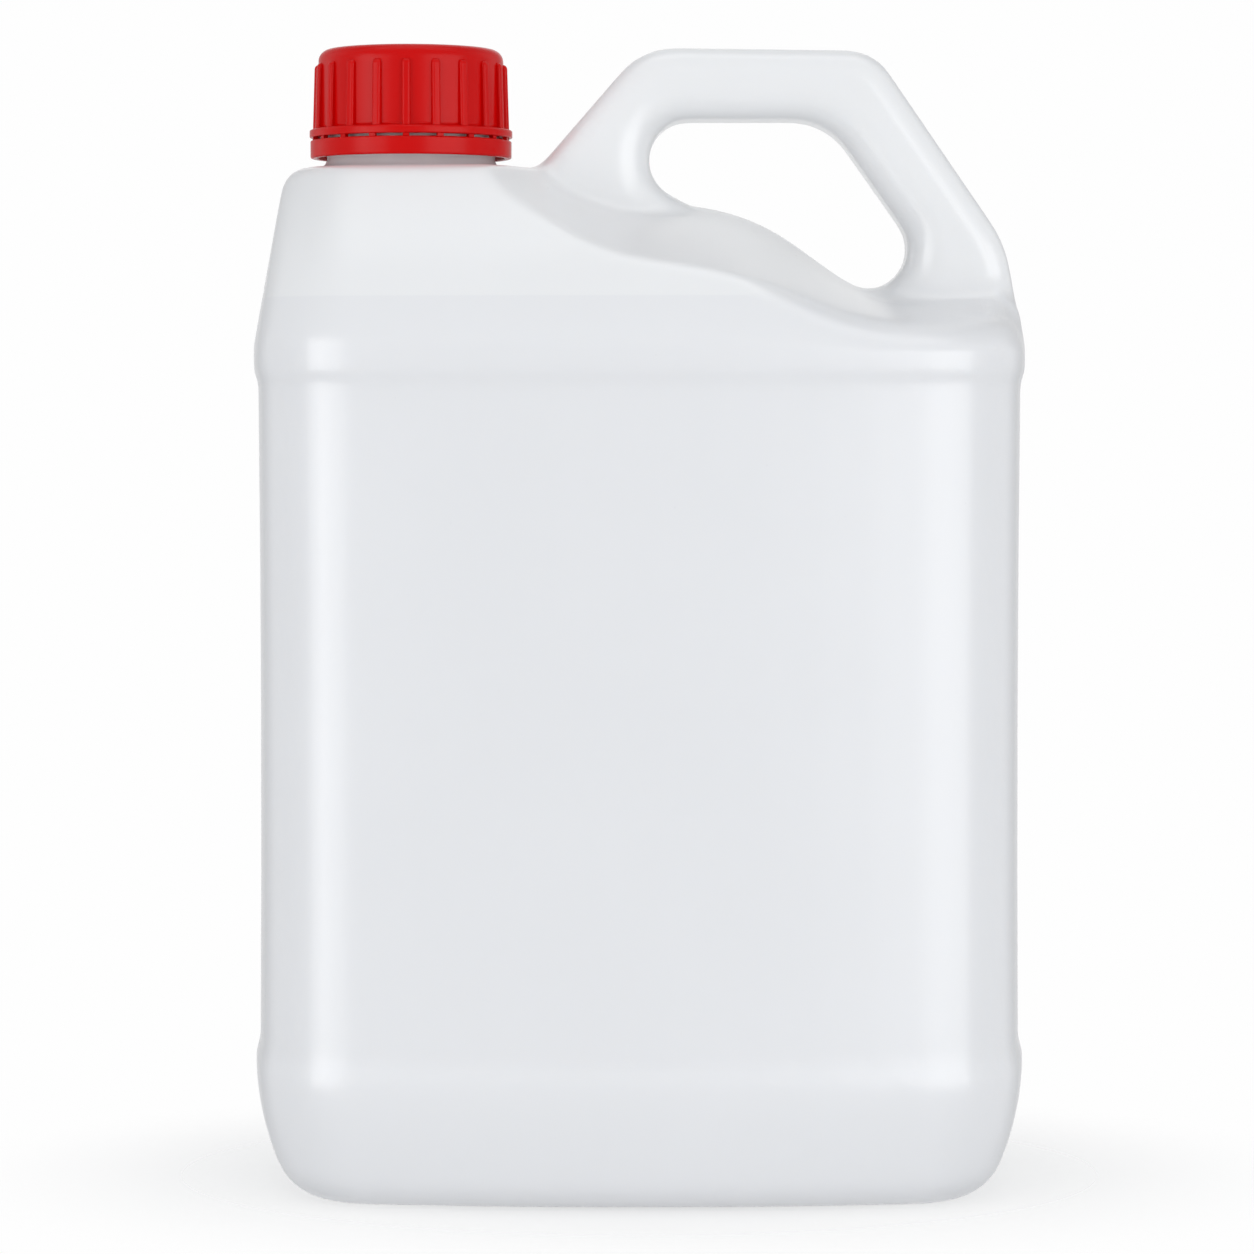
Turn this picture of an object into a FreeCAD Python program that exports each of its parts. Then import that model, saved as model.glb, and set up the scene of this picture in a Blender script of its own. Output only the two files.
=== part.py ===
import FreeCAD, Part

import os
from math import atan2, cos, degrees, hypot, pi, radians, sin, sqrt, tan

# Five litre blow moulded bottle, nearly square in its corners, with a handle
# moulded in one with it and a screw cap with a tamper ring.  Millimetres.
# X runs along the wide side and Y through the depth, so that the front looks
# towards -Y.  Z is up.  The origin is the middle of the face it stands on.

V = FreeCAD.Vector
UP = V(0, 0, 1)

# ---- trunk: an upright box with bowed walls, two proud bands and a panel between
WIDTH = 194.6
DEPTH = 128.0
SIDE_BOW_R = 200.0
FRONT_BOW_R = 560.0
CORNER_R = 29.0
BASE_EDGE_R = 14.0
BOOT_R = 66.0
BOOT_TOP = 33.2
PANEL_INSET = 1.15
PANEL_DISH = 0.35
PANEL_LAND = 4.0
LEDGE_RISE = 4.2
PANEL_TOP = 202.4
LIP_RISE = 2.4
BAND_HEIGHT = 8.8
PUSH_UP = 1.5
PUSH_UP_BORDER = 27.0
PUSH_UP_EASE = 1.9

# ---- shoulder: leans in to a level deck that carries the neck
SIDE_LEAN = 10.4
SHOULDER_FOOT = 2.0
SHOULDER_RISE = 42.8
DECK_HALF_DEPTH = 34.0
DECK_EDGE_R = 7.0
DECK_CORNER_LOSS = 5.0
FRONT_FULLNESS = 0.45

# ---- neck and cap, from the bore outwards and from the deck upwards
NECK_FROM_SIDE = 39.4
NECK_R = 20.9
NECK_FLARE = 5.0
THREAD_DEPTH = 1.0
BEAD_REACH = 1.9
CAP_PLAY = 0.3
CAP_WALL = 1.3
SKIRT_TAPER = 0.1
FLANGE_REACH = 2.2
FLANGE_HEIGHT = 1.9
RING_SHY = 0.2
RING_WALL = 1.7
RING_LIFT = 2.8
RING_HEIGHT = 4.5
SLOT = 0.7
BRIDGE_COUNT = 18
BRIDGE_WIDTH = 1.6
CAP_HEIGHT = 27.5
CAP_ROOF = 2.0
CAP_EDGE_R = 3.0
RIB_COUNT = 20
RIB_WIDTH = 2.2
RIB_REACH = 1.4
RIB_DROP = 3.7

# ---- handle: a rounded loop standing on the parting plane
HANDLE_FROM_CAP = 33.0
HANDLE_FROM_SIDE = 38.3
HANDLE_HALF = 14.0
HANDLE_RISE = 30.4
HANDLE_TOP_FALL = 0.8
RISE_ANGLE = 49.0
FALL_ANGLE = 55.5
HANDLE_SHY = 0.25
HANDLE_ROOT = 9.2
HANDLE_EDGE_R = 6.0

# ---- grip: the hole through the loop, a level slot that turns down with the loop
GRIP_ROOF = 18.2
GRIP_LEFT = 1.7
GRIP_RIGHT = 11.6
GRIP_FALL_ANGLE = 54.7
GRIP_SILL = 3.7
GRIP_DROP = 30.2
GRIP_TAIL = 25.4
GRIP_EDGE_R = 8.5
LEFT_BLEND_R = 5.0
RIGHT_BLEND_R = 8.0

# ---- scoop under the grip.  Each row has x, the height of the ridge on the parting
# plane, and the height its slope has SCOOP_REACH in front of the handle.  Heights
# are from the deck, x is from the left or the right end of the handle's top.
SCOOP_REACH = 66.0
SCOOP_LEFT = [
    (-60.8, 40.0, -23.0),
    (-42.8, 23.0, -29.5),
    (-31.8, 10.0, -29.5),
    (-21.8, 0.3, -28.0),
    (-6.8, -6.2, -30.6),
    (7.2, -7.6, -32.8),
    (19.2, -9.2, -35.0),
]
SCOOP_RIGHT = [
    (-25.0, -14.8, -38.9),
    (-14.0, -22.6, -42.6),
    (-2.0, -30.1, -44.4),
    (16.0, -32.8, -43.0),
    (51.0, -33.5, -40.5),
]
RIDGE_R = 20.0
CREASE_R = 2.5

# Pieces of the bottle that meet within this are one skin.
SEAM = 0.01

# ---- heights and places that follow from the sizes above
BAND_TOP = PANEL_TOP + BAND_HEIGHT
FOOT_Z = BAND_TOP + SHOULDER_FOOT
DECK_Z = FOOT_Z + SHOULDER_RISE
LEAN = tan(radians(SIDE_LEAN))
NECK_X = NECK_FROM_SIDE - WIDTH / 2
THREAD_R = NECK_R + THREAD_DEPTH
BORE_R = THREAD_R + CAP_PLAY
SKIRT_R = BORE_R + CAP_WALL
FLANGE_R = SKIRT_R + FLANGE_REACH
RING_R = FLANGE_R - RING_SHY
RING_BOTTOM = DECK_Z + RING_LIFT
RING_TOP = RING_BOTTOM + RING_HEIGHT
FLANGE_BOTTOM = RING_TOP + SLOT
CAP_TOP = RING_BOTTOM + CAP_HEIGHT
SEAT = CAP_TOP - CAP_ROOF
HANDLE_LEFT = NECK_X + FLANGE_R + HANDLE_FROM_CAP
HANDLE_RIGHT = WIDTH / 2 - HANDLE_FROM_SIDE
HANDLE_TOP = DECK_Z + HANDLE_RISE
SCOOP_SPAN = HANDLE_HALF + SCOOP_REACH


def circles_meet(a, ra, b, rb):
    """Crossing of two circles that has the larger x + y; centres are (x, y)."""
    dx, dy = b[0] - a[0], b[1] - a[1]
    gap = hypot(dx, dy)
    along = (ra * ra - rb * rb + gap * gap) / (2 * gap)
    across = sqrt(ra * ra - along * along)
    foot = (a[0] + along * dx / gap, a[1] + along * dy / gap)
    pair = [(foot[0] - s * across * dy / gap, foot[1] + s * across * dx / gap) for s in (-1, 1)]
    return max(pair, key=lambda p: p[0] + p[1])


def plan_arcs(half_x, half_y, corner):
    """Eight arcs (x, y, radius, start, end) that go round the plan, anticlockwise."""
    side_x = half_x - SIDE_BOW_R
    front_y = half_y - FRONT_BOW_R
    kx, ky = circles_meet((side_x, 0), SIDE_BOW_R - corner, (0, front_y), FRONT_BOW_R - corner)
    a = atan2(ky, kx - side_x)
    b = atan2(ky - front_y, kx)
    return [
        (side_x, 0, SIDE_BOW_R, -a, a),
        (kx, ky, corner, a, b),
        (0, front_y, FRONT_BOW_R, b, pi - b),
        (-kx, ky, corner, pi - b, pi - a),
        (-side_x, 0, SIDE_BOW_R, pi - a, pi + a),
        (-kx, -ky, corner, pi + a, pi + b),
        (0, -front_y, FRONT_BOW_R, pi + b, 2 * pi - b),
        (kx, -ky, corner, 2 * pi - b, 2 * pi - a),
    ]


def plan_wire(z, half_x, half_y, corner, inset=0.0):
    """The plan outline at height z, drawn inset parallel to itself."""
    edges = []
    for x, y, radius, start, end in plan_arcs(half_x, half_y, corner):
        circle = Part.Circle(V(x, y, z), UP, radius - inset)
        edges.append(Part.ArcOfCircle(circle, start, end).toShape())
    return Part.Wire(edges)


def turn(points, i):
    """Directions back and on from a corner, and half the angle between them."""
    back = (points[i - 1] - points[i]).normalize()
    on = (points[(i + 1) % len(points)] - points[i]).normalize()
    return back, on, back.getAngle(on) / 2


def fitted(corners, points):
    """Radii of the corners, cut back where two roundings would overlap on a side."""
    count = len(corners)
    reach = [corner[2] and corner[2] / tan(turn(points, i)[2]) for i, corner in enumerate(corners)]
    radii = []
    for i, corner in enumerate(corners):
        sides = [((points[i] - points[j]).Length, reach[i] + reach[j]) for j in (i - 1, (i + 1) % count)]
        room = [0.99 * length / wanted for length, wanted in sides if wanted > length]
        radii.append(corner[2] * min(room + [1]))
    return radii


def rounded(corners, closed=True):
    """Edges of a path in the XZ plane through (x, z, radius) corners."""
    points = [V(x, 0, z) for x, z, radius in corners]
    spans = []
    for i, radius in enumerate(fitted(corners, points)):
        if radius == 0:
            spans.append((points[i], None, points[i]))
            continue
        back, on, half = turn(points, i)
        reach = radius / tan(half)
        middle = points[i] + (back + on).normalize() * (radius / sin(half) - radius)
        spans.append((points[i] + back * reach, middle, points[i] + on * reach))
    edges = []
    for i, (enter, middle, leave) in enumerate(spans):
        if middle is not None:
            edges.append(Part.Arc(enter, middle, leave).toShape())
        after = spans[(i + 1) % len(spans)][0]
        if (closed or i < len(spans) - 1) and (after - leave).Length > 1e-6:
            edges.append(Part.makeLine(leave, after))
    return edges


def prism(corners, half):
    """Solid with a rounded XZ outline, half thick on either side of the XZ plane."""
    face = Part.Face(Part.Wire(rounded(corners)))
    face.translate(V(0, -half, 0))
    return face.extrude(V(0, 2 * half, 0))


# ------------------------------------------------------------------------ trunk
def boot_reach():
    """How far the centre of the base edge's arc stands out from the boot arc's centre."""
    return sqrt((BOOT_R - BASE_EDGE_R) ** 2 - (BOOT_TOP - BASE_EDGE_R) ** 2)


def boot_arcs(radius):
    """Base edge, rolled in at BASE_EDGE_R, and the boot that swells up from it."""
    boot = V(radius - BOOT_R, 0, BOOT_TOP)
    edge = V(boot.x + boot_reach(), 0, BASE_EDGE_R)
    touch = boot + (edge - boot).normalize() * BOOT_R
    slope = atan2(touch.z - edge.z, touch.x - edge.x)
    under = edge + V(cos((slope - pi / 2) / 2), 0, sin((slope - pi / 2) / 2)) * BASE_EDGE_R
    beside = boot + V(cos(slope / 2), 0, sin(slope / 2)) * BOOT_R
    base = Part.Arc(V(edge.x, 0, 0), under, touch)
    bulge = Part.Arc(touch, beside, V(radius, 0, BOOT_TOP))
    return [base.toShape(), bulge.toShape()]


def wall_profile(radius):
    """Half section of the trunk wall, standing radius away from the Z axis."""
    inner = radius - PANEL_INSET
    land_low = BOOT_TOP + LEDGE_RISE + PANEL_LAND
    land_high = PANEL_TOP - PANEL_LAND
    ledge = [(radius, BOOT_TOP, 0), (inner, BOOT_TOP + LEDGE_RISE, 2), (inner, land_low, 0)]
    dished = V(inner - PANEL_DISH, 0, (land_low + land_high) / 2)
    dish = Part.Arc(V(inner, 0, land_low), dished, V(inner, 0, land_high))
    band = [
        (inner, land_high, 0),
        (inner, PANEL_TOP, 1),
        (radius, PANEL_TOP + LIP_RISE, 1.5),
        (radius, BAND_TOP, 8),
        (radius - SHOULDER_FOOT * LEAN, FOOT_Z, 0),
    ]
    panel = rounded(ledge, False) + [dish.toShape()] + rounded(band, False)
    return Part.Wire(boot_arcs(radius) + panel)


def trunk_skin():
    """Each arc of the plan turns the wall profile about its own centre."""
    faces = []
    for x, y, radius, start, end in plan_arcs(WIDTH / 2, DEPTH / 2, CORNER_R):
        wall = wall_profile(radius)
        wall.rotate(V(), UP, degrees(start))
        wall.translate(V(x, y, 0))
        faces += wall.revolve(V(x, y, 0), UP, degrees(end - start)).Faces
    return faces


def trunk():
    """The upright box, with a shallow push-up under it that leaves a rim to stand on."""
    plan = (WIDTH / 2, DEPTH / 2, CORNER_R)
    floor = Part.Face(plan_wire(0, *plan, BOOT_R - boot_reach()))
    lid = Part.Face(plan_wire(FOOT_Z, *plan, SHOULDER_FOOT * LEAN))
    shell = Part.makeShell(trunk_skin() + [floor, lid])
    shell.sewShape()
    solid = Part.Solid(shell)
    if solid.Volume < 0:
        solid.reverse()
    mouth = plan_wire(-SEAM, *plan, PUSH_UP_BORDER)
    roof = plan_wire(PUSH_UP, *plan, PUSH_UP_BORDER + PUSH_UP_EASE)
    return solid.cut(Part.makeLoft([mouth, roof], True, True))


# --------------------------------------------------------------------- shoulder
def shoulder_size(z):
    """Half width, half depth and corner radius of the shoulder at height z."""
    t = (z - FOOT_Z) / SHOULDER_RISE
    half_x = WIDTH / 2 - LEAN * (z - BAND_TOP)
    start = DEPTH / 2 - LEAN * SHOULDER_FOOT
    half_y = start - (start - DECK_HALF_DEPTH) * (FRONT_FULLNESS * t + (1 - FRONT_FULLNESS) * t * t)
    return half_x, half_y, CORNER_R - LEAN * SHOULDER_FOOT - DECK_CORNER_LOSS * t


def shoulder_block():
    """The shoulder before it is scooped out, its deck rounded over all round."""
    heights = [FOOT_Z + SHOULDER_RISE * k / 4 for k in range(5)]
    block = Part.makeLoft([plan_wire(z, *shoulder_size(z)) for z in heights], True, False)
    rim = [e for e in block.Edges if e.BoundBox.ZMin > DECK_Z - SEAM]
    return block.makeFillet(DECK_EDGE_R, rim)


def scoop_rows():
    """Rows of the scoop, put in their place on the bottle."""
    ends = ((HANDLE_LEFT, SCOOP_LEFT), (HANDLE_RIGHT, SCOOP_RIGHT))
    return [(end + x, DECK_Z + ridge, DECK_Z + slope) for end, rows in ends for x, ridge, slope in rows]


def scoop_section(y, points):
    """Everything above the scoop's floor, as a closed wire at depth y."""
    floor = Part.BSplineCurve()
    floor.interpolate([V(x, y, z) for x, z in points])
    first, last = floor.StartPoint, floor.EndPoint
    high = HANDLE_TOP + HANDLE_RISE
    over = [last, V(last.x, y, high), V(first.x, y, high), first]
    return Part.Wire([floor.toShape()] + [Part.makeLine(p, q) for p, q in zip(over, over[1:])])


def scoop(side):
    """Tool that cuts the shoulder away on one side (-1 front, 1 back) of the ridge."""
    rows = scoop_rows()
    middle = scoop_section(0, [(x, ridge) for x, ridge, slope in rows])
    outer = scoop_section(side * SCOOP_SPAN, [(x, slope) for x, ridge, slope in rows])
    return Part.makeLoft([middle, outer], True, True)


def on_parting_plane(edge):
    box = edge.BoundBox
    return box.YLength < SEAM and abs(box.YMin) < SEAM and box.ZMin > BAND_TOP


def scoop_faces(block):
    """The two scooped slopes and the rounded ridge between them."""
    low = FOOT_Z + SEAM
    beside = [f for f in block.Faces if f.CenterOfMass.x > HANDLE_LEFT and f.CenterOfMass.z > low]
    return sorted(beside, key=lambda f: f.Area)[-3:]


def border(faces):
    """Edges that belong to only one of the faces."""
    edges = [e for f in faces for e in f.Edges]
    return [e for e in edges if sum(e.isSame(other) for other in edges) == 1]


def shoulder():
    """Shoulder scooped down both sides of a rounded ridge, to clear the fingers."""
    block = shoulder_block()
    for side in (-1, 1):
        block = block.cut(scoop(side))
    ridge = max((e for e in block.Edges if on_parting_plane(e)), key=lambda e: e.Length)
    block = block.makeFillet(RIDGE_R, [ridge])
    return block.makeFillet(CREASE_R, border(scoop_faces(block)))


# ----------------------------------------------------------------------- handle
def side_x(z):
    """The loop's right side, a little inside the leaning side of the shoulder."""
    return WIDTH / 2 - HANDLE_SHY - LEAN * (z - BAND_TOP)


def handle_outline():
    """Corners (x, z, radius) of the loop: up from the deck, along, down into the side."""
    step = 1 / tan(radians(FALL_ANGLE))
    top_right = HANDLE_TOP - HANDLE_TOP_FALL
    bend_z = (HANDLE_RIGHT + top_right * step - side_x(0)) / (step - LEAN)
    root = BAND_TOP - HANDLE_ROOT
    return [
        (HANDLE_LEFT - HANDLE_RISE / tan(radians(RISE_ANGLE)), DECK_Z, 12),
        (HANDLE_LEFT, HANDLE_TOP, 18),
        (HANDLE_RIGHT, top_right, 13),
        (side_x(bend_z), bend_z, 30),
        (side_x(BAND_TOP + 7), BAND_TOP + 7, 7),
        (HANDLE_RIGHT + 17, root, 7),
        (HANDLE_LEFT - 21, root, 7),
        (HANDLE_LEFT - 43, DECK_Z - 5, 7),
    ]


def grip_outline():
    """Corners (x, z, radius) of the hole for the fingers."""
    left = HANDLE_LEFT + GRIP_LEFT
    right = HANDLE_RIGHT - GRIP_RIGHT
    roof = HANDLE_TOP - GRIP_ROOF
    floor = DECK_Z - GRIP_DROP
    tail = right + (roof - floor) / tan(radians(GRIP_FALL_ANGLE))
    return [
        (left, roof, 9.6),
        (right, roof, 17),
        (tail, floor, 10.2),
        (tail - GRIP_TAIL, floor, 4),
        (left, DECK_Z - GRIP_SILL, 9.5),
    ]


def rims(loop, of_hole):
    """Edges of the loop's two flat sides, round the hole or round the outside."""
    flats = [face for face in loop.Faces if face.BoundBox.YLength < SEAM]
    wires = [(wire, wire.isSame(face.OuterWire)) for face in flats for wire in face.Wires]
    return [edge for wire, outer in wires if outer != of_hole for edge in wire.Edges]


def handle():
    """Loop with its grip hole, rounded more round the grip than outside."""
    loop = prism(handle_outline(), HANDLE_HALF).cut(prism(grip_outline(), 2 * HANDLE_HALF))
    loop = loop.makeFillet(GRIP_EDGE_R, rims(loop, True))
    return loop.makeFillet(HANDLE_EDGE_R, rims(loop, False))


# ----------------------------------------------------------------- neck and cap
def turned(profile):
    """Solid of revolution about the neck's axis from (radius, z, rounding) corners."""
    face = Part.Face(Part.Wire(rounded(profile)))
    solid = face.revolve(V(), UP, 360)
    solid.translate(V(NECK_X, 0, 0))
    return solid


def neck():
    """Finish of the bottle: foot flare, tamper bead and the land of the thread."""
    flare = NECK_R + NECK_FLARE
    bead_z = RING_BOTTOM + 2.6
    return turned(
        [
            (0, DECK_Z - 6, 0),
            (flare, DECK_Z - 6, 0),
            (flare, DECK_Z - 2.5, 0),
            (NECK_R, DECK_Z + 1.6, 2.2),
            (NECK_R, bead_z - 0.9, 0),
            (NECK_R + BEAD_REACH, bead_z, 0.4),
            (NECK_R + BEAD_REACH, bead_z + 0.8, 0.4),
            (THREAD_R, bead_z + 2.2, 0),
            (THREAD_R, SEAT - 1.5, 0),
            (THREAD_R - 1, SEAT, 0),
            (0, SEAT, 0),
        ]
    )


def cap_shell():
    """Roof, skirt and the flange that carries the tamper ring."""
    flange_top = FLANGE_BOTTOM + FLANGE_HEIGHT
    return turned(
        [
            (0, SEAT, 0),
            (BORE_R, SEAT, 0),
            (BORE_R, FLANGE_BOTTOM + 1.2, 0),
            (BORE_R + 0.9, FLANGE_BOTTOM, 0),
            (FLANGE_R, FLANGE_BOTTOM, 0.3),
            (FLANGE_R, flange_top, 0.5),
            (SKIRT_R, flange_top + 0.6, 0.4),
            (SKIRT_R - SKIRT_TAPER, CAP_TOP, CAP_EDGE_R),
            (0, CAP_TOP, 0),
        ]
    )


def tamper_ring():
    return turned(
        [
            (RING_R - RING_WALL, RING_BOTTOM, 0.3),
            (RING_R, RING_BOTTOM, 0.5),
            (RING_R, RING_TOP, 0.4),
            (RING_R - RING_WALL - 0.5, RING_TOP, 0.3),
        ]
    )


def grip_rib():
    """One upright rib of the skirt, on the cap's +X side, standing on the flange."""
    low = FLANGE_BOTTOM + FLANGE_HEIGHT - 0.5
    high = CAP_TOP - RIB_DROP
    outline = [
        (SKIRT_R - 0.9, low, 0),
        (SKIRT_R + RIB_REACH, low, 0),
        (SKIRT_R + RIB_REACH - 0.5, high, 1.2),
        (SKIRT_R - 0.9, high, 0),
    ]
    rib = prism(outline, RIB_WIDTH / 2)
    rib.translate(V(NECK_X, 0, 0))
    proud = [e for e in rib.Edges if e.BoundBox.ZLength > 10 and e.BoundBox.XMin > NECK_X + SKIRT_R]
    return rib.makeFillet(RIB_WIDTH / 3, proud)


def bridge():
    """One of the thin webs that break when the cap is first turned."""
    at = V(NECK_X + RING_R - RING_WALL, -BRIDGE_WIDTH / 2, RING_TOP - 0.4)
    return Part.makeBox(1.2, BRIDGE_WIDTH, SLOT + 0.8, at)


def round_cap(shape, count):
    """Copies of a shape at equal angles round the neck's axis, the first in front."""
    copies = [shape.copy() for k in range(count)]
    for k, copy in enumerate(copies):
        copy.rotate(V(NECK_X, 0, 0), UP, 360 * k / count - 90)
    return copies


def cap():
    """Screw cap, its ribs and its tamper ring, joined by bridges across the slot."""
    ribs = round_cap(grip_rib(), RIB_COUNT)
    bridges = round_cap(bridge(), BRIDGE_COUNT)
    return cap_shell().fuse([tamper_ring()] + ribs + bridges)


# ----------------------------------------------------------------------- bottle
def is_near(edge, skins):
    """True where the middle of the edge lies on every one of the skins."""
    spot = Part.Vertex(edge.valueAt(edge.FirstParameter * 0.55 + edge.LastParameter * 0.45))
    return all(skin.distToShape(spot)[0] < SEAM for skin in skins)


def junction(joined, loop, body, low, high):
    """Edges between x = low and high where the loop runs into the body."""
    skins = [Part.makeShell(loop.Faces), Part.makeShell(body.Faces)]
    found = []
    for edge in joined.Edges:
        box = edge.BoundBox
        beside_loop = box.YMin > -HANDLE_HALF - 1 and box.YMax < HANDLE_HALF + 1 and box.ZMin > BAND_TOP
        if beside_loop and low < box.Center.x < high and is_near(edge, skins):
            found.append(edge)
    return found


def bottle():
    """Trunk, shoulder and handle in one skin, blended where the handle grows out."""
    body = trunk().fuse([shoulder()], SEAM)
    loop = handle()
    joined = body.fuse([loop], SEAM).removeSplitter()
    middle = (HANDLE_LEFT + HANDLE_RIGHT) / 2
    joined = joined.makeFillet(LEFT_BLEND_R, junction(joined, loop, body, -WIDTH, middle))
    joined = joined.makeFillet(RIGHT_BLEND_R, junction(joined, loop, body, middle, WIDTH))
    return joined.fuse([neck()], SEAM)


os.makedirs("parts", exist_ok=True)
for name, make in (("bottle", bottle), ("cap", cap)):
    solid = make()
    print(name, solid.isValid(), len(solid.Solids), round(solid.Volume / 1000, 1), "cm3")
    solid.exportStep("parts/" + name + ".step")
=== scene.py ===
# %% [markdown]
# # Five litre plastic bottle with a moulded handle
#
# The solids come from the CAD frame and keep their place and size. This notebook gives
# them the skin of blow moulded polyethylene and the gloss of an injection moulded cap,
# then builds a white studio round them.

from math import cos, radians, sin

import bpy
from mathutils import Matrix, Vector


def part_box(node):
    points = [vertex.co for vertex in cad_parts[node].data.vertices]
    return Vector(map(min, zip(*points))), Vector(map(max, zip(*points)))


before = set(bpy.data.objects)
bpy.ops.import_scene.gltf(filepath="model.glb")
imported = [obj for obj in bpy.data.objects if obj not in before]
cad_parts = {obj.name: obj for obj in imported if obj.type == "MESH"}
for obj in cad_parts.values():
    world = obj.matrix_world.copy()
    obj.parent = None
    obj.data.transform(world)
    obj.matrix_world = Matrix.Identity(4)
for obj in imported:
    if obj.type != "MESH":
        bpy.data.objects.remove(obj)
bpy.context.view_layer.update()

# %% [markdown]
# ## Sizes
#
# Lengths are metres. A pattern on a surface is as fine as it is on the real thing: the
# walls wave over centimetres, and the grain of the skin is a millimetre and finer.
# The scale of a noise is how many of its lumps fit in a metre.

# %%
MM = 0.001

# Bottle
LEVEL_Z = 223 * MM          # the drink stands this high inside the wall
LEVEL_HAZE = 0.3 * MM       # half the height over which the level line fades
FOOT_HAZE = 12 * MM         # the same beside the handle's right foot
FOOT_X = (25 * MM, 60 * MM)     # where the shoulder turns into that foot
RIDGE_Y = (17 * MM, 26 * MM)    # the scoop's ridge runs outside this depth
RIDGE_Z = (210 * MM, 218 * MM)  # and above this height
RIDGE_PASSES = 60           # how far the ridge is blurred at its right end
SKIN_VOXEL = 1.4 * MM       # finer than the smallest rounding on the bottle
SKIN_PASSES = 6
SEAM_GAP = 0.01 * MM

# Patterns
CLOUD_SCALE = 22.0          # wall thickness, about 45 mm from lump to lump
WAVE_SCALE = 38.0           # waves of the wall, about 26 mm
GRAIN_SCALE = 900.0         # blasted mould, about 1 mm and finer
DRIFT_SCALE = 60.0          # streaks of pigment in the cap, about 17 mm
PEEL_SCALE = 700.0          # orange peel of the cap

# Studio
FLOOR_RADIUS = 0.36
FLOOR_FADE = (0.03, 0.13)   # from the middle outwards the paper gives way to the surround
FLOOR_CLEAR = 0.45          # share of surround that shows even under the bottle
FLAG_NEAR = (0.15, 0.35)    # how far aside a reflection turns where the flags begin
FLAG_FAR = (0.65, 0.85)     # and where they end
FLAG_DEPTH = 0.5            # share of the paper's white that the flags take away
AIM = Vector((0, 0, 0.14))  # the lamps point at the middle of the bottle

# Camera
EYE = Vector((-3.1, -1070, 200.3)) * MM
EYE_DIP = 2.38              # degrees below level
LENS = 120.6
LENS_SHIFT = -0.05

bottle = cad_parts["bottle"]
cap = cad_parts["cap"]
neck_x = sum(corner[0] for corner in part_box("cap")) / 2
print("cap axis at x =", round(neck_x / MM, 2), "mm")

# %% [markdown]
# ## Helpers
#
# Colours are written the way a colour picker shows them and turned into the linear
# values that light adds up in. One small function adds any node, and the ones after it
# name the four things that recur: a sum, a ramp, a noise and a blend of two colours.

# %%


def srgb(code, alpha=1.0):
    """Linear RGBA of an sRGB hex colour such as "E6E7E9"."""
    parts = [int(code[i : i + 2], 16) / 255 for i in (0, 2, 4)]
    return [c / 12.92 if c <= 0.04045 else ((c + 0.055) / 1.055) ** 2.4 for c in parts] + [alpha]


def add(tree, kind, settings=None, **sockets):
    """A node: settings are its properties, sockets its inputs, as values or outputs."""
    node = tree.nodes.new(kind)
    for key, value in (settings or {}).items():
        setattr(node, key, value)
    for key, value in sockets.items():
        name = key.replace("_", " ")
        by_place = name[0] == "i" and name[1:].isdigit()
        socket = node.inputs[int(name[1:]) if by_place else name]
        if isinstance(value, bpy.types.NodeSocket):
            tree.links.new(value, socket)
        else:
            socket.default_value = value
    return node


def maths(tree, operation, *values):
    """Output of a Math node; the values are numbers or outputs."""
    inputs = {f"i{k}": value for k, value in enumerate(values)}
    return add(tree, "ShaderNodeMath", {"operation": operation}, **inputs).outputs[0]


def ramp(tree, value, span, low=0.0, high=1.0, soft=True):
    """A value that goes from low to high while its input crosses the span."""
    return add(
        tree,
        "ShaderNodeMapRange",
        {"interpolation_type": "SMOOTHSTEP" if soft else "LINEAR"},
        Value=value,
        From_Min=span[0],
        From_Max=span[1],
        To_Min=low,
        To_Max=high,
    ).outputs["Result"]


def noise(tree, place, scale, detail):
    """Soft random lumps between 0 and 1."""
    return add(tree, "ShaderNodeTexNoise", Vector=place, Scale=scale, Detail=detail).outputs["Fac"]


def blend(tree, share, first, second):
    """A colour between two; share 0 gives the first."""
    settings = {"data_type": "RGBA"}
    return add(tree, "ShaderNodeMix", settings, i0=share, i6=first, i7=second).outputs[2]


def new_material(name):
    """An empty node material: itself, its tree, its output node and object coordinates."""
    material = bpy.data.materials.new(name)
    material.use_nodes = True
    tree = material.node_tree
    tree.nodes.clear()
    out = add(tree, "ShaderNodeOutputMaterial")
    place = add(tree, "ShaderNodeTexCoord").outputs["Object"]
    return material, tree, out, place


print("white of the dry wall:", [round(c, 3) for c in srgb("E7E8E9")])

# %% [markdown]
# ## Blow moulded polyethylene
#
# High density polyethylene is a milky plastic. Light goes a few millimetres into it,
# which lifts the shadow side and softens every edge. The mould was sand blasted, so the
# skin is satin: a wide, soft highlight. Where the drink stands behind the wall it takes
# a little light away, and that leaves a level line. The skin is densest at its face,
# where the melt met the cold mould: a thin clearer coat that draws the lamps' edges.

# %%
hdpe, tree, out, place = new_material("hdpe_blow_moulded")
spot = add(tree, "ShaderNodeSeparateXYZ", Vector=place)

# The level is a crisp line, and it blurs where the wall thickens into the handle's foot.
haze = ramp(tree, spot.outputs["X"], FOOT_X, LEVEL_HAZE, FOOT_HAZE, soft=False)
low = maths(tree, "SUBTRACT", LEVEL_Z, haze)
high = maths(tree, "ADD", LEVEL_Z, haze)
level = ramp(tree, spot.outputs["Z"], (low, high))

# Wall thickness drifts over centimetres as the parison stretches: a faint cloudiness.
cloud = noise(tree, place, CLOUD_SCALE, 2.0)
wet = blend(tree, cloud, srgb("E0E1E3"), srgb("E3E4E6"))
dry = blend(tree, cloud, srgb("E4E5E6"), srgb("E7E8E9"))
tone = blend(tree, level, wet, dry)

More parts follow.
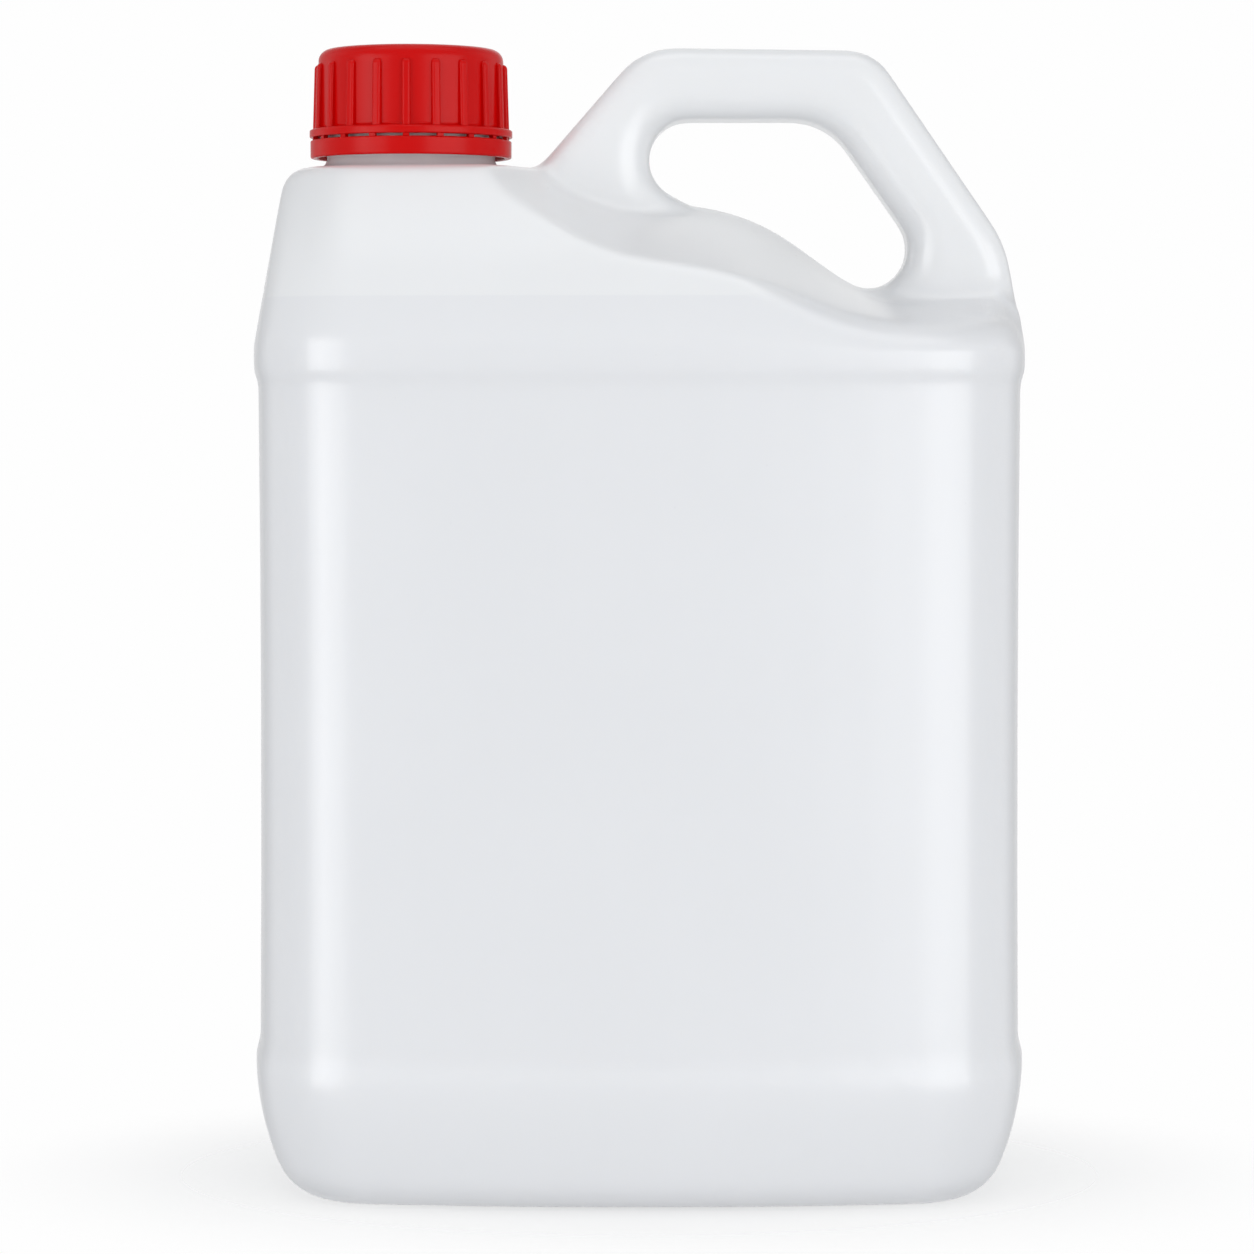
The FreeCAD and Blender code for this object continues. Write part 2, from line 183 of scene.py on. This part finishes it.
# Satin grain: the gloss wanders slightly, never to a mirror.
grain = noise(tree, place, GRAIN_SCALE, 3.0)
satin = ramp(tree, grain, (0.0, 1.0), 0.26, 0.32, soft=False)

# Blown walls are never dead flat: shallow waves a few centimetres long.
wave = noise(tree, place, WAVE_SCALE, 1.0)
swell = add(tree, "ShaderNodeBump", Strength=0.25, Distance=0.35 * MM, Height=wave)
relief = add(
    tree,
    "ShaderNodeBump",
    Strength=0.08,
    Distance=0.05 * MM,
    Height=grain,
    Normal=swell.outputs["Normal"],
)
skin = add(
    tree,
    "ShaderNodeBsdfPrincipled",
    Base_Color=tone,
    Roughness=satin,
    IOR=1.54,
    Normal=relief.outputs["Normal"],
    Coat_Weight=0.4,
    Coat_Roughness=0.22,
    Subsurface_Weight=0.35,
    Subsurface_Radius=(1.0, 0.95, 0.9),
    Subsurface_Scale=6 * MM,
)
tree.links.new(skin.outputs["BSDF"], out.inputs["Surface"])
print("polyethylene nodes:", len(tree.nodes))

# %% [markdown]
# ## Injection moulded cap
#
# The cap is the same family of plastic, coloured in the mass and moulded on polished
# steel, so it is glossier than the bottle. The pigment is dense and swallows most of
# what would glance off, so its red is deep. A trace of light inside the plastic warms
# the thin ribs.

# %%
cap_red, tree, out, place = new_material("cap_polyethylene_red")

# Pigment never mixes in quite evenly: two near reds, centimetres apart.
drift = noise(tree, place, DRIFT_SCALE, 2.0)
red = blend(tree, drift, srgb("C20101"), srgb("CA0302"))

# Orange peel: the melt shrinks a little off the polished steel.
orange_peel = noise(tree, place, PEEL_SCALE, 2.0)
gloss = ramp(tree, orange_peel, (0.0, 1.0), 0.22, 0.28, soft=False)
peel = add(tree, "ShaderNodeBump", Strength=0.06, Distance=0.05 * MM, Height=orange_peel)
plastic = add(
    tree,
    "ShaderNodeBsdfPrincipled",
    Base_Color=red,
    Roughness=gloss,
    IOR=1.5,
    Normal=peel.outputs["Normal"],
    Specular_IOR_Level=0.13,
    Subsurface_Weight=0.08,
    Subsurface_Radius=(1.0, 0.2, 0.1),
    Subsurface_Scale=1.5 * MM,
)
tree.links.new(plastic.outputs["BSDF"], out.inputs["Surface"])
print("cap nodes:", len(tree.nodes))

# %% [markdown]
# ## Dressing the solids
#
# The CAD meshes stay as they are. The bottle gets modifiers that even out its facets
# and melt its edges by a fraction of a millimetre, as blowing does.

# %%
for solid, material in ((bottle, hdpe), (cap, cap_red)):
    solid.data.materials.clear()
    solid.data.materials.append(material)

weld = bottle.modifiers.new("close_seams", "WELD")
weld.merge_threshold = SEAM_GAP
remesh = bottle.modifiers.new("even_skin", "REMESH")
remesh.mode = "VOXEL"
remesh.voxel_size = SKIN_VOXEL * 1
remesh.use_smooth_shade = True
melt = bottle.modifiers.new("melt_edges", "SMOOTH")
melt.factor = 0.5
melt.iterations = SKIN_PASSES

print("modifiers:", [m.name for m in bottle.modifiers])

# %% [markdown]
# ## The ridge that runs out
#
# Beside the handle's right foot the ridge of each scoop runs out flat, because the
# parison is stretched most there. A blur of the positions lets it fade. A mask in three
# directions keeps the blur off the handle and off the outline.

# %%
tree = bpy.data.node_groups.new("fade_ridge", "GeometryNodeTree")
for way in ("INPUT", "OUTPUT"):
    tree.interface.new_socket("Geometry", in_out=way, socket_type="NodeSocketGeometry")
source = add(tree, "NodeGroupInput")
result = add(tree, "NodeGroupOutput")
position = add(tree, "GeometryNodeInputPosition").outputs[0]
axis = add(tree, "ShaderNodeSeparateXYZ", Vector=position)
depth = maths(tree, "ABSOLUTE", axis.outputs["Y"])
mask = maths(
    tree,
    "MULTIPLY",
    maths(
        tree,
        "MULTIPLY",
        ramp(tree, axis.outputs["X"], FOOT_X),
        ramp(tree, depth, RIDGE_Y),
    ),
    ramp(tree, axis.outputs["Z"], RIDGE_Z),
)
blur = add(
    tree,
    "GeometryNodeBlurAttribute",
    {"data_type": "FLOAT_VECTOR"},
    Iterations=RIDGE_PASSES // 1,
    Weight=mask,
)
# The node has one input and one output for each data type, and only those in use are on.
tree.links.new(position, next(s for s in blur.inputs if s.enabled and s.name == "Value"))
blurred = next(s for s in blur.outputs if s.enabled)
moved = add(tree, "GeometryNodeSetPosition", Geometry=source.outputs[0], Position=blurred)
tree.links.new(moved.outputs[0], result.inputs[0])
fade_ridge = bottle.modifiers.new("fade_ridge", "NODES")
fade_ridge.node_group = tree

evaluated = bottle.evaluated_get(bpy.context.evaluated_depsgraph_get())
print("bottle skin faces:", len(evaluated.to_mesh().polygons))
evaluated.to_mesh_clear()

# %% [markdown]
# ## White studio
#
# A plain white surround. The eye and every reflection see it as paper white, while the
# light that falls on the bottle comes from a greyer room. Two grey flags stand behind
# the set, left and right of the bottle. They show only in reflections, and they draw
# the thin darker rim along its sides.

# %%
world = bpy.data.worlds.new("studio_white")
bpy.context.scene.world = world
world.use_nodes = True
tree = world.node_tree
tree.nodes.clear()
out = add(tree, "ShaderNodeOutputWorld")
path = add(tree, "ShaderNodeLightPath").outputs
paper = add(tree, "ShaderNodeBackground", Color=srgb("FEFEFE"), Strength=1.0).outputs[0]
room = add(tree, "ShaderNodeBackground", Color=srgb("E4E6E9"), Strength=0.71).outputs[0]
dark = add(tree, "ShaderNodeBackground", Color=srgb("FEFEFE"), Strength=0.0).outputs[0]

# The flags: in the direction of a ray, X is how far it turns aside and Y how far back.
heading = add(tree, "ShaderNodeTexCoord").outputs["Generated"]
turn = add(tree, "ShaderNodeSeparateXYZ", Vector=heading).outputs
aside = maths(tree, "ABSOLUTE", turn["X"])
inner = ramp(tree, aside, FLAG_NEAR)
outer = ramp(tree, aside, FLAG_FAR, FLAG_DEPTH, 0.0)
behind = maths(tree, "GREATER_THAN", turn["Y"], 0.0)
flag = maths(tree, "MULTIPLY", maths(tree, "MULTIPLY", inner, outer), behind)
card = add(tree, "ShaderNodeMixShader", i0=flag, i1=paper, i2=dark).outputs[0]

mirror = maths(tree, "MAXIMUM", path["Is Glossy Ray"], path["Is Transmission Ray"])
lit = add(tree, "ShaderNodeMixShader", i0=mirror, i1=room, i2=card).outputs[0]
seen = add(tree, "ShaderNodeMixShader", i0=path["Is Camera Ray"], i1=lit, i2=paper)
tree.links.new(seen.outputs[0], out.inputs["Surface"])
print("surround nodes:", len(tree.nodes))

# %% [markdown]
# ## Floor
#
# A round sheet of white paper that holds the bottle's soft shadow. It fades out into
# the surround, so it has no edge. It is stretched sideways like the bottle's foot.

# %%
floor_white, tree, out, place = new_material("paper_sweep")
stretch = {"operation": "MULTIPLY"}
oval = add(tree, "ShaderNodeVectorMath", stretch, i0=place, i1=(0.7, 1.0, 1.0))
reach = add(tree, "ShaderNodeVectorMath", {"operation": "LENGTH"}, i0=oval.outputs["Vector"])
fade = ramp(tree, reach.outputs["Value"], FLOOR_FADE, FLOOR_CLEAR)
sheet = add(tree, "ShaderNodeBsdfDiffuse", Color=srgb("FAFAFA")).outputs[0]
clear = add(tree, "ShaderNodeBsdfTransparent").outputs[0]
paper_sweep = add(tree, "ShaderNodeMixShader", i0=fade, i1=sheet, i2=clear)
tree.links.new(paper_sweep.outputs[0], out.inputs["Surface"])

bpy.ops.mesh.primitive_circle_add(
    vertices=96,
    radius=FLOOR_RADIUS,
    fill_type="NGON",
    location=(0, 0, 0),
)
floor = bpy.context.object
floor.name = "floor"
floor.data.materials.append(floor_white)
print("floor radius", FLOOR_RADIUS, "m")

# %% [markdown]
# ## Lamps
#
# Two tall soft boxes stand left and right of the camera and draw the soft upright
# highlights near the corners. The left highlight is narrower, so a strip lamp stands
# inside that box and gives it a core. A wide box overhead lights every ledge.

# %%


def soft_box(name, azimuth, elevation, distance, width, tall, watts):
    """A rectangular lamp round the bottle's middle; azimuth 0 is where the camera is."""
    a, e = radians(azimuth), radians(elevation)
    out_to = Vector((sin(a) * cos(e), -cos(a) * cos(e), sin(e)))
    data = bpy.data.lights.new(name, "AREA")
    data.shape = "RECTANGLE"
    data.size = width
    data.size_y = tall
    data.energy = watts
    lamp = bpy.data.objects.new(name, data)
    lamp.location = AIM + out_to * distance
    lamp.rotation_euler = out_to.to_track_quat("Z", "Y").to_euler()
    bpy.context.collection.objects.link(lamp)
    return lamp


# Name, azimuth and elevation in degrees, then distance, width and height in metres, watts.
for row in (
    ("box_left", -47, 4, 1.3, 0.90, 0.9, 4.5),
    ("strip_left", -52, 4, 1.3, 0.30, 0.9, 1.1),
    ("box_right", 42, 4, 1.3, 1.15, 0.9, 7.0),
    ("box_over", 0, 82, 1.2, 1.2, 0.6, 1.8),
):
    lamp = soft_box(*row)
    print(lamp.name, [round(c, 2) for c in lamp.location], lamp.data.energy, "W")

# %% [markdown]
# ## Camera
#
# A long lens at shoulder height of the bottle, tipped slightly down.

# %%
scene = bpy.context.scene
scene.view_settings.view_transform = "Standard"
data = bpy.data.cameras.new("camera")
data.sensor_width = 36
data.lens = LENS
data.shift_y = LENS_SHIFT
camera = bpy.data.objects.new("camera", data)
camera.location = EYE
camera.rotation_euler = (radians(90 - EYE_DIP), 0, 0)
bpy.context.collection.objects.link(camera)
scene.camera = camera
print("camera", [round(c, 3) for c in camera.location], data.lens, "mm")
